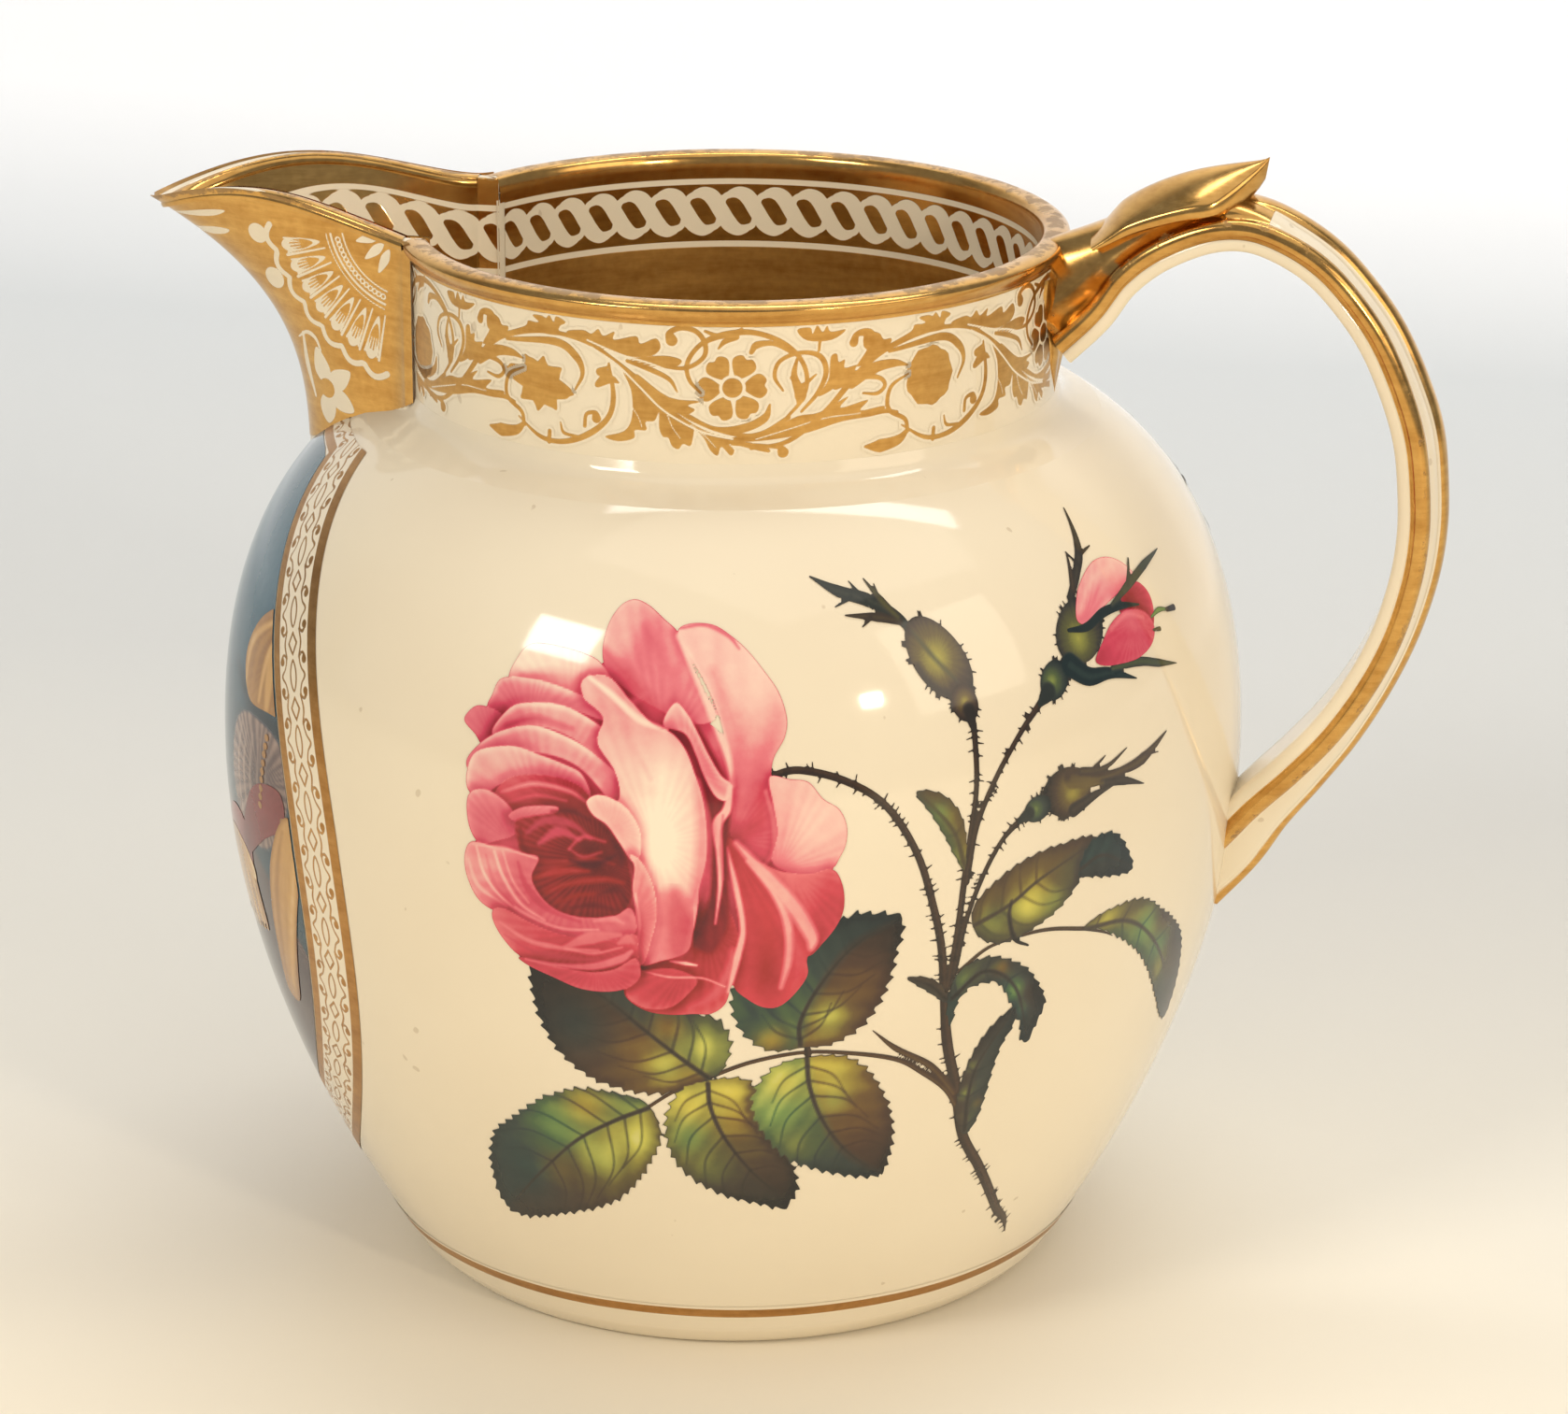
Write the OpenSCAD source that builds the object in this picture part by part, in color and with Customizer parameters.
// Porcelain cream jug with a beak spout, a strap handle with a leaf thumb rest, fired gilding and enamel painting.
// Frame: origin at the centre of the foot on the table, +Z up, handle towards +X, spout towards -X.

/* [Bowl] */
// outer radius of the standing foot ring
foot_r = 37.4; // [32:0.2:44]
// height of the plain foot ring below the bowl
foot_h = 3.0; // [2:0.5:5]
// radius of the hollow under the foot
foot_bore_r = 33.0; // [26:0.5:36]
// depth of the hollow under the foot
foot_recess = 2.6; // [1:0.2:4]
// largest outer radius of the bowl
belly_r = 59.0; // [48:0.5:72]
// height of the widest place of the bowl
belly_z = 61.5; // [50:0.5:74]
// how far the shoulder curve would run above the widest place
shoulder_h = 45.1; // [37:0.1:55]
// thickness of the bowl wall
bowl_wall = 3.2; // [2.4:0.1:4]
// thickness of the floor of the bowl
floor_t = 4.0; // [3:0.2:6]

/* [Collar] */
// outer radius of the straight collar
collar_r = 37.0; // [33:0.5:42]
// height of the collar above the shoulder, lip included
collar_h = 19.0; // [15:0.5:24]
// wall of the collar
collar_wall = 2.3; // [1.8:0.1:3]
// how far the rolled lip stands out from the collar
lip_out = 1.0; // [0.4:0.1:1.6]
// height of the rolled lip
lip_h = 2.6; // [2:0.2:4]

/* [Spout] */
// how far the spout reaches past the notches where it leaves the collar
spout_reach = 34.8; // [28:0.2:42]
// half of the angle of the collar that the spout opens
spout_half_angle = 26.5; // [20:0.5:32]
// how far the edge of the spout rises above the collar on its way to the tip
spout_rise = 3.4; // [2:0.2:5]
// wall of the spout
spout_wall = 2.3; // [1.8:0.1:3]
// reach of the spout where its keel lands on the shoulder
keel_reach = 16.2; // [13:0.2:19]

/* [Handle] */
// room for a finger between the bowl and the middle of the strap
grip_gap = 19.9; // [16:0.2:26]
// width of the strap
strap_w = 11.5; // [9:0.5:14]
// thickness of the strap at mid height
strap_t = 5.0; // [4:0.1:6]
// how high the crown of the strap stands above the lip
crown_rise = 3.4; // [2:0.1:5]
// height of the thumb leaf above the crown of the strap
thumb_h = 4.6; // [3:0.2:7]
// width of the thumb leaf
thumb_w = 13.0; // [10:0.5:16]

/* [Gilding and enamel] */
// thickness that stands for a fired layer of gold or enamel
skin = 0.15; // [0.1:0.05:0.3]
// width of the gold line above the foot
foot_line_w = 1.3; // [0.8:0.1:3]
// height of the middle of that line
foot_line_z = 5.9; // [4.6:0.1:9]
// height of the gold band round the lip
rim_band_h = 3.0; // [2:0.2:4.5]
// radius of the picture in the front roundel
picture_r = 44.0; // [34:0.5:45]
// radius of the outer gold line of the roundel
roundel_r = 48.8; // [46:0.2:54]
// height of the middle of the roundel
roundel_z = 57.0; // [50:0.5:62]
// diameter of the gold flowers on the collar
rosette_d = 11.0; // [8:0.5:13]

/* [Hidden] */
$fn = 96;
eps = 0.01;
profile_steps = 22;
shoulder_out = 3.69;
shoulder_up = 2.28;
base_curve = 1.88;
bowl_foot_r = foot_r + 2.1;
collar_z = belly_z + shoulder_h * pow(1 - pow(collar_r / belly_r, shoulder_out), 1 / shoulder_up);
rim_z = collar_z + collar_h;
inner_r = collar_r - collar_wall;
notch_x = (collar_r + lip_out) * cos(spout_half_angle);
notch_y = (collar_r + lip_out) * sin(spout_half_angle);
porcelain = [0.93, 0.90, 0.86];
gold = [0.72, 0.50, 0.25];
rose = [0.78, 0.20, 0.24];
leaf = [0.22, 0.36, 0.16];
dark = [0.07, 0.11, 0.14];

// ---------- shape of revolution ----------

// outer radius of the bowl at a height
function bowl_r(z) = z <= belly_z
  ? belly_r - (belly_r - bowl_foot_r) * pow((belly_z - z) / (belly_z - foot_h), base_curve)
  : belly_r * pow(max(0.001, 1 - pow((z - belly_z) / shoulder_h, shoulder_up)), 1 / shoulder_out);

// slope of the bowl at a height, as radius gained per height
function bowl_slope(z) = (bowl_r(z + 0.05) - bowl_r(z - 0.05)) / 0.1;

// a point of the bowl moved outwards along its own normal
function bowl_point(z, t) =
  let (m = bowl_slope(z), k = sqrt(1 + m * m))
  [bowl_r(z) + t / k, z - t * m / k];

// heights that lie closer together where the shoulder turns over
function heights(a, b, n) = [for (i = [0 : n]) a + (b - a) * sin(90 * i / n)];

// a layer on the bowl between two heights and two depths
module bowl_layer(a, b, t0, t1, n = profile_steps) {
  zs = heights(a, b, n);
  outer = [for (z = zs) bowl_point(z, t1)];
  inner = [for (i = [n : -1 : 0]) bowl_point(zs[i], t0)];
  rotate_extrude() polygon(concat(outer, inner));
}

module bowl_solid() {
  zs = heights(foot_h, collar_z, profile_steps);
  rotate_extrude() polygon(concat([[0, foot_h]], [for (z = zs) bowl_point(z, 0)], [[0, collar_z]]));
}

module tube(r0, r1, z0, z1) {
  translate([0, 0, z0])
    difference() {
      cylinder(r = r1, h = z1 - z0);
      translate([0, 0, -1]) cylinder(r = r0, h = z1 - z0 + 2);
    }
}

// what lies in the sector that the spout takes out of the collar
module spout_sector(z0, z1, more = 0) {
  a = spout_half_angle + more;
  big = 3 * collar_r;
  translate([0, 0, z0])
    linear_extrude(height = z1 - z0)
      polygon([[0, 0], [-big * cos(a), big * sin(a)], [-big, big * sin(a)], [-big, -big * sin(a)],
        [-big * cos(a), -big * sin(a)]]);
}

// ---------- porcelain ----------

module bowl() {
  color(porcelain)
    difference() {
      bowl_solid();
      bowl_room();
      translate([0, 0, collar_z - 6]) cylinder(r = inner_r, h = 20);
    }
}

module bowl_room() {
  low = foot_h + floor_t;
  zs = heights(low + 2, collar_z - 1, profile_steps);
  walls = [for (z = zs) bowl_point(z, -bowl_wall)];
  rotate_extrude()
    polygon(concat([[0, low], [bowl_point(low, -bowl_wall)[0] - 6, low]], walls, [[0, walls[profile_steps][1]]]));
}

module foot_ring() {
  color(porcelain)
    difference() {
      cylinder(r1 = foot_r, r2 = bowl_foot_r, h = foot_h);
      translate([0, 0, -1]) cylinder(r = foot_bore_r, h = foot_recess + 1);
    }
}

module collar() {
  color(porcelain)
    difference() {
      tube(inner_r, collar_r, collar_z, rim_z - lip_h);
      spout_sector(collar_z - 1, rim_z + 1);
    }
}

lip_middle = (inner_r + collar_r + lip_out) / 2;
lip_half = (collar_r + lip_out - inner_r) / 2;

// the round top of the lip between two angles, grown by a layer; 0 is outside and 180 inside
function lip_arc(a0, a1, t) = [for (i = [0 : 6])
  let (a = a0 + (a1 - a0) * i / 6)
  [lip_middle + (lip_half + t) * cos(a), rim_z - lip_half + (lip_half + t) * sin(a)]];

module collar_lip() {
  color(porcelain)
    difference() {
      rotate_extrude()
        polygon(concat([[inner_r, rim_z - lip_h], [collar_r, rim_z - lip_h]], lip_arc(0, 90, 0), lip_arc(105, 180, 0)));
      spout_sector(collar_z - 1, rim_z + 1);
    }
}

// ---------- spout ----------

// reach of the keel at a share of the height from the shoulder to the tip
function keel(s) = keel_reach + (spout_reach - keel_reach) * pow(s, 3.2);

// height of the edge of the spout at a share of the way from notch to tip
function edge_z(t) = rim_z + spout_rise * sin(180 * pow(t, 1.25)) - 0.4 * t;

// half width of the spout at a share of the way from notch to tip
function half_width(t, inset) = max(0.001, (notch_y - 1.2 - inset) * sqrt(1 - t) + 1.2 * exp(-14 * t));

low_z = rim_z - 32;
spout_rings = 14;
spout_side = 14;

// one ring of the spout at a share of its height, from one notch round the keel to the other
function spout_ring(s, inset) =
  let (
    ts = [for (i = [0 : spout_side]) sin(90 * i / spout_side)],
    half = [for (t = ts)
      [-notch_x - (keel(s) - inset) * t, half_width(t, inset), low_z + s * (edge_z(t) - low_z)]],
    inner_z = low_z + s * (rim_z - low_z)
  )
  concat([[-notch_x + 8, notch_y - inset, inner_z]], half,
    [for (i = [spout_side - 1 : -1 : 0]) [half[i][0], -half[i][1], half[i][2]]],
    [[-notch_x + 8, -notch_y + inset, inner_z]]);

// a solid through rings that all have the same number of points
module through_rings(rings) {
  n = len(rings[0]);
  m = len(rings);
  sides = [for (i = [0 : m - 2], j = [0 : n - 1])
    each [[i * n + j, (i + 1) * n + j, i * n + (j + 1) % n],
      [i * n + (j + 1) % n, (i + 1) * n + j, (i + 1) * n + (j + 1) % n]]];
  caps = concat([for (j = [1 : n - 2]) [0, j, j + 1]],
    [for (j = [1 : n - 2]) [(m - 1) * n, (m - 1) * n + j + 1, (m - 1) * n + j]]);
  polyhedron(points = [for (ring = rings) each ring], faces = concat(sides, caps), convexity = 6);
}

// a spout-shaped block from one ring to another, capped across its width so that the arched edge stays true
module spout_block(inset, first, final) {
  rings = [for (i = [first : final]) spout_ring(i / spout_rings, inset)];
  n = len(rings[0]);
  m = len(rings);
  sides = [for (i = [0 : m - 2], j = [0 : n - 1])
    each [[i * n + j, (i + 1) * n + j, i * n + (j + 1) % n],
      [i * n + (j + 1) % n, (i + 1) * n + j, (i + 1) * n + (j + 1) % n]]];
  tip = (n - 1) / 2;
  low_cap = [for (j = [0 : tip - 2])
    each [[j, j + 1, n - 1 - j], [j + 1, n - 2 - j, n - 1 - j]]];
  top = (m - 1) * n;
  top_cap = [for (j = [0 : tip - 2])
    each [[top + j, top + n - 1 - j, top + j + 1], [top + j + 1, top + n - 1 - j, top + n - 2 - j]]];
  tips = [[tip - 1, tip, tip + 1], [top + tip - 1, top + tip + 1, top + tip]];
  polyhedron(points = [for (ring = rings) each ring], faces = concat(sides, low_cap, top_cap, tips), convexity = 6);
}

// the collar's own lip, so that the spout meets it face to face
module clear_of_collar() {
  difference() {
    cylinder(r = collar_r + lip_out, h = rim_z + 30);
    spout_sector(-1, rim_z + 31);
  }
}

module spout() {
  color(porcelain)
    difference() {
      spout_block(0, 0, spout_rings);
      spout_block(spout_wall, 0, spout_rings + 3);
      bowl_solid();
      cylinder(r = inner_r, h = rim_z + 20);
      clear_of_collar();
    }
}

// ---------- handle ----------

crown_z = rim_z + crown_rise;
landing_z = belly_z - 9.5;
strap_x = belly_r + grip_gap;
landing_x = belly_r - 0.5;

// stations of the strap: share of the reach, share of the height, share of the thickness; first from the collar
collar_stations = [[-0.04, 0.84, 2.9], [0.07, 0.893, 2.3], [0.166, 0.935, 1.7], [0.27, 0.97, 1.4],
  [0.403, 0.996, 1.18], [0.52, 0.998, 1.04], [0.628, 0.975, 0.95], [0.727, 0.937, 0.92], [0.818, 0.88, 0.92],
  [0.884, 0.824, 0.94], [0.943, 0.75, 0.97], [0.981, 0.681, 1.0], [0.998, 0.6, 1.0]];

// then down to the bowl
bowl_stations = [[1.0, 0.53, 1.0], [0.966, 0.456, 1.0], [0.879, 0.369, 1.0], [0.749, 0.287, 1.04],
  [0.575, 0.205, 1.13], [0.377, 0.133, 1.25], [0.169, 0.065, 1.4], [0, 0, 1.55], [-0.217, -0.069, 1.6]];

function station_z(f) = landing_z + f * (crown_z - landing_z);
stations = concat(
  [for (s = collar_stations) [collar_r + s[0] * (strap_x - collar_r), station_z(s[1]), s[2] * strap_t]],
  [for (s = bowl_stations) [landing_x + s[0] * (strap_x - landing_x), station_z(s[1]), s[2] * strap_t]]);

// a smooth curve through four neighbouring stations
function smooth(a, b, c, d, u) =
  0.5 * (2 * b + (c - a) * u + (2 * a - 5 * b + 4 * c - d) * u * u + (3 * b - a - 3 * c + d) * u * u * u);

per_station = 3;
last = len(stations) - 1;
strap_line = [for (i = [0 : last - 1], k = [0 : per_station - 1])
  smooth(stations[max(0, i - 1)], stations[i], stations[i + 1], stations[min(last, i + 2)], k / per_station)];
strap_count = len(strap_line);

function unit(v) = v / norm(v);
function along(i) =
  let (a = strap_line[max(0, i - 1)], b = strap_line[min(strap_count - 1, i + 1)])
  unit([b[0] - a[0], b[1] - a[1]]);

// the strap's own cross direction, pointing away from the finger
function outward(i) = let (t = along(i)) [-t[1], t[0]];

// a ring across the strap: rounded bar, from y = -w to w, and from -d to d across
function bar_ring(i, w, d, shift) =
  let (p = strap_line[i], q = outward(i))
  [for (a = [0 : 20 : 340])
    let (c = cos(a), s = sin(a), y = w * sign(c) * pow(abs(c), 0.6), k = d * sign(s) * pow(abs(s), 0.6) + shift)
    [p[0] + q[0] * k, y, p[1] + q[1] * k]];

module strap_solid() {
  through_rings([for (i = [0 : strap_count - 1])
    bar_ring(i, strap_w / 2 * (i < 10 ? 1 + 0.02 * (10 - i) : 1), strap_line[i][2] / 2, 0)]);
}

module handle_strap() {
  color(porcelain)
    difference() {
      strap_solid();
      bowl_solid();
      cylinder(r = collar_r, h = rim_z - lip_h);
      translate([0, 0, rim_z - lip_h]) cylinder(r = collar_r + lip_out, h = 40);
      lappet_solid();
      for (side = [-1, 1]) edge_rib(side);
      back_rib();
    }
}

// a thin rib along the strap between two places on its line
module rib(first, final, y, w, d, lift) {
  through_rings([for (i = [first : final])
    let (p = strap_line[i], q = outward(i), k = strap_line[i][2] / 2 + lift)
    [for (a = [0 : 45 : 315]) [p[0] + q[0] * (k + d * sin(a)), y + w * cos(a), p[1] + q[1] * (k + d * sin(a))]]]);
}

module edge_rib(side) {
  rib(20, strap_count - 4, side * (strap_w / 2 - 1.2), 0.9, 0.7, -0.5);
}

module back_rib() {
  rib(20, strap_count - 4, 0, 1.3, 0.9, 0.1);
}

module handle_edge_ribs() {
  color(gold)
    difference() {
      for (side = [-1, 1]) edge_rib(side);
      bowl_solid();
    }
}

module handle_back_rib() {
  color(gold)
    difference() {
      back_rib();
      bowl_solid();
    }
}

thumb_at = 16;

// slices of the thumb leaf: place along the strap, height, half thickness and share of the width
thumb_curve = [[-13, -1.6, 1.0, 0.35], [-10.5, -0.6, 1.5, 0.6], [-8, 0.4, 1.8, 0.8], [-5.5, 1.2, 2.0, 0.95],
  [-3.4, 1.9, 2.1, 1.0], [-1.6, 2.6, 1.9, 0.9], [-0.4, 3.3, 1.3, 0.6], [0.2, 3.8, 0.6, 0.25]];

// the leaf that curls up from the crown of the strap
module thumb_leaf() {
  p = strap_line[thumb_at];
  top = p[1] + p[2] / 2;
  k = thumb_h / 4.6;
  color(gold)
    difference() {
      through_rings([for (c = thumb_curve)
        [for (a = [0 : 24 : 336])
          [p[0] + c[0] - 0.4 * c[2] * sin(a), thumb_w / 2 * c[3] * cos(a),
            top + c[1] * k + c[2] * sin(a) + 0.7 * pow(cos(a), 2) * c[3]]]]);
      strap_solid();
      translate([0, 0, rim_z - lip_h]) cylinder(r = collar_r + lip_out, h = 40);
    }
}

module lappet_solid() {
  intersection() {
    tube(collar_r, collar_r + 1.2, collar_z, rim_z - lip_h);
    translate([0, 0, (collar_z + rim_z) / 2 - 1])
      rotate([90, 0, 90])
        linear_extrude(height = 60)
          polygon([[0, -9], [4.6, -5], [6.6, 1], [6.6, 12], [-6.6, 12], [-6.6, 1], [-4.6, -5]]);
  }
}

module upper_lappet() {
  color(gold) lappet_solid();
}

// ---------- gilding ----------

// the places where the strap and its lappet stand on the collar
module under_handle(grow) {
  translate([collar_r, -strap_w / 2 - 1 - grow, collar_z - 1]) cube([30, strap_w + 2 + 2 * grow, collar_h + 12]);
}

module rim_gilding() {
  low = rim_z - lip_h;
  color(gold)
    difference() {
      rotate_extrude()
        polygon(concat([[collar_r, low], [collar_r + skin, low]], lip_arc(0, 90, skin), lip_arc(90, 0, 0)));
      spout_sector(collar_z - 1, rim_z + 1);
      under_handle(0.2);
    }
}

module rim_gilding_inside() {
  low = rim_z - rim_band_h;
  color(gold)
    difference() {
      rotate_extrude()
        polygon(concat([[inner_r, low], [inner_r, rim_z - lip_half]], lip_arc(180, 105, 0), lip_arc(105, 180, skin),
          [[inner_r - skin, low]]));
      spout_sector(collar_z - 1, rim_z + 1);
    }
}

module collar_lace_inside() {
  color(porcelain)
    difference() {
      tube(inner_r - skin, inner_r, rim_z - 9.8, rim_z - 4.4);
      spout_sector(collar_z - 1, rim_z + 1);
    }
}

module collar_gilding_inside() {
  color(gold)
    difference() {
      tube(inner_r - skin, inner_r, collar_z, rim_z - 11);
      spout_sector(collar_z - 1, rim_z + 1);
    }
}

rosette_step = 36.5;
rosette_angles = [for (side = [-1, 1], k = [0 : 2]) side * (41 + rosette_step * k)];
scroll_angles = [for (side = [-1, 1], k = [0 : 2]) side * (41 + rosette_step * (k + 0.5))];
collar_mid = (collar_z + rim_z - lip_h) / 2;

// an outline pushed outwards from the axis at an azimuth and a height
module outline_at(az, z, turn = 0) {
  rotate([0, 0, az])
    translate([0, 0, z])
      rotate([90, 0, 90])
        linear_extrude(height = 90)
          rotate(turn) children();
}

module collar_rosettes() {
  color(gold)
    intersection() {
      tube(collar_r, collar_r + skin, collar_z + 0.5, rim_z - lip_h - 0.5);
      union() {
        for (a = rosette_angles) outline_at(a, collar_mid) circle(d = rosette_d);
      }
    }
}

module collar_scrollwork() {
  color(gold)
    difference() {
      intersection() {
        tube(collar_r, collar_r + skin, collar_z + 0.5, rim_z - lip_h - 0.5);
        union() {
          for (a = scroll_angles) outline_at(a, collar_mid) circle(r = rosette_d / 2 + 0.1);
        }
      }
      for (a = scroll_angles) outline_at(a, collar_mid) circle(r = rosette_d / 2 - 1.3);
    }
}

module spout_gilding() {
  color(gold)
    difference() {
      spout_block(-skin, 3, spout_rings);
      spout_block(0, 0, spout_rings + 3);
      bowl_solid();
      fans_cutter(0.4);
      translate([-notch_x - 1, -60, 0]) cube([60, 120, rim_z + 20]);
    }
}

// a round field on each side of the spout
module fans_cutter(grow) {
  translate([-notch_x - 12.5, 40, rim_z - 6.5])
    rotate([90, 0, 0])
      cylinder(r = 6 + grow, h = 80);
}

module spout_fans() {
  color(porcelain)
    difference() {
      intersection() {
        spout_block(-skin, 3, spout_rings);
        fans_cutter(0);
      }
      spout_block(0, 0, spout_rings + 3);
    }
}

module foot_line() {
  color(gold) bowl_layer(foot_line_z - foot_line_w / 2, foot_line_z + foot_line_w / 2, 0, skin, 3);
}

// ---------- front roundel ----------

// a disc of the front picture, pushed forwards from the middle of the bowl
module front_disc(r) {
  translate([0, 0, roundel_z])
    rotate([0, -90, 0])
      cylinder(r = r, h = 90);
}

module front_ring(r0, r1, t) {
  top = collar_z - 6;
  intersection() {
    bowl_layer(roundel_z - roundel_r - 2, top, 0, t);
    difference() {
      front_disc(r1);
      front_disc(r0);
    }
  }
}

module roundel_outer_line() {
  color(gold) front_ring(roundel_r - 0.9, roundel_r, skin);
}

module roundel_border() {
  color(gold) front_ring(picture_r + 1.8, roundel_r - 1.8, skin);
}

module roundel_inner_line() {
  color(gold) front_ring(picture_r, picture_r + 0.9, skin);
}

module roundel_ground() {
  color(dark)
    intersection() {
      bowl_layer(roundel_z - picture_r - 2, collar_z - 9, 0, skin);
      difference() {
        front_disc(picture_r - eps);
        portrait_outline() { coat_shape(); head_shape(); }
      }
    }
}

module portrait_outline() {
  translate([0, 0, roundel_z])
    rotate([90, 0, -90])
      linear_extrude(height = 90)
        union() children();
}

module coat_shape() {
  difference() {
    intersection() {
      translate([0, -37]) scale([1, 1]) circle(r = 38);
      circle(r = picture_r - 0.4);
    }
    head_shape();
  }
}

module head_shape() {
  translate([0, 15]) circle(r = 12.5);
  translate([-6, -4]) square([12, 12]);
}

module sash_shape() {
  intersection() {
    rotate(-35) translate([-60, -16]) square([120, 9]);
    circle(r = picture_r - 4);
    translate([0, -37]) circle(r = 36);
  }
}

module epaulette_shape() {
  for (side = [-1, 1]) translate([side * 27, -10]) circle(r = 6);
}

module portrait_layer(t) {
  intersection() {
    bowl_layer(roundel_z - picture_r - 2, collar_z - 9, 0, t);
    portrait_outline() children();
  }
}

module portrait_coat() {
  color(dark)
    difference() {
      portrait_layer(skin) coat_shape();
      portrait_outline() { sash_shape(); epaulette_shape(); }
    }
}

module portrait_head() {
  color([0.80, 0.62, 0.50]) portrait_layer(skin) head_shape();
}

module portrait_sash() {
  color(rose) portrait_layer(skin) difference() {
    sash_shape();
    epaulette_shape();
    head_shape();
  }
}

module portrait_epaulettes() {
  color(gold) portrait_layer(skin) difference() {
    epaulette_shape();
    head_shape();
  }
}

// ---------- rose spray, painted on both sides ----------

// a pointed leaf from two arcs, its stalk end at the origin
module leaf_shape(length, width) {
  r = (length * length + width * width) / (4 * width);
  intersection() {
    translate([length / 2, r - width / 2]) circle(r = r);
    translate([length / 2, width / 2 - r]) circle(r = r);
  }
}

// azimuth, height, turn, length and width of each painted leaf
leaves = [[-90, 34, 198, 21, 12], [-79, 37, -106, 20, 11], [-70, 39, -72, 15, 8], [-81, 40, 138, 17, 9],
  [-60, 50, 168, 17, 10], [-47, 60, 8, 19, 9], [-35, 54, -52, 22, 9], [-49, 52, -75, 13, 6]];

// azimuth, height, turn, length and width of each painted bud
buds = [[-57, 87, 150, 15, 9], [-33, 83, 62, 16, 11], [-40, 71, 8, 15, 8]];

// azimuth, height, turn, length and width of each stretch of stem
stems = [[-36, 14, 116, 24, 1.6], [-48, 35, 100, 20, 1.6], [-54, 54, 96, 17, 1.4], [-56, 70, 92, 16, 1.2],
  [-51, 39, 178, 26, 1.0], [-57, 75, 176, 16, 1.2]];

module bloom_shape() {
  for (k = [0 : 6]) rotate(k * 360 / 7) translate([12.5, 0]) circle(r = 8.2);
  circle(r = 14);
}

module both_sides() {
  for (side = [0, 1]) mirror([0, side, 0]) children();
}

module rose_layer(t) {
  intersection() {
    bowl_layer(foot_line_z + 3, collar_z - 4, 0, t);
    union() children();
  }
}

module leaf_prisms() {
  for (k = leaves) outline_at(k[0], k[1], k[2]) leaf_shape(k[3], k[4]);
}

module bud_prisms() {
  for (k = buds) outline_at(k[0], k[1], k[2]) leaf_shape(k[3], k[4]);
}

module stem_prisms() {
  for (k = stems) outline_at(k[0], k[1], k[2]) translate([0, -k[4] / 2]) square([k[3], k[4]]);
}

module bloom_prism() {
  outline_at(-94, 69) bloom_shape();
}

module rose_blooms() {
  color(rose) both_sides() rose_layer(skin) bloom_prism();
}

module rose_leaves() {
  color(leaf)
    both_sides() difference() {
      rose_layer(skin) leaf_prisms();
      bloom_prism();
    }
}

module rose_buds() {
  color(rose)
    both_sides() difference() {
      rose_layer(skin) bud_prisms();
      bloom_prism();
      leaf_prisms();
    }
}

module rose_stems() {
  color(leaf)
    both_sides() difference() {
      rose_layer(skin) stem_prisms();
      bloom_prism();
      leaf_prisms();
      bud_prisms();
    }
}

bowl();
foot_ring();
collar();
collar_lip();
spout();
handle_strap();
thumb_leaf();
upper_lappet();
rim_gilding();
rim_gilding_inside();
collar_lace_inside();
collar_gilding_inside();
collar_scrollwork();
collar_rosettes();
spout_gilding();
spout_fans();
handle_edge_ribs();
handle_back_rib();
foot_line();
roundel_outer_line();
roundel_border();
roundel_inner_line();
roundel_ground();
portrait_coat();
portrait_head();
portrait_sash();
portrait_epaulettes();
rose_blooms();
rose_leaves();
rose_buds();
rose_stems();
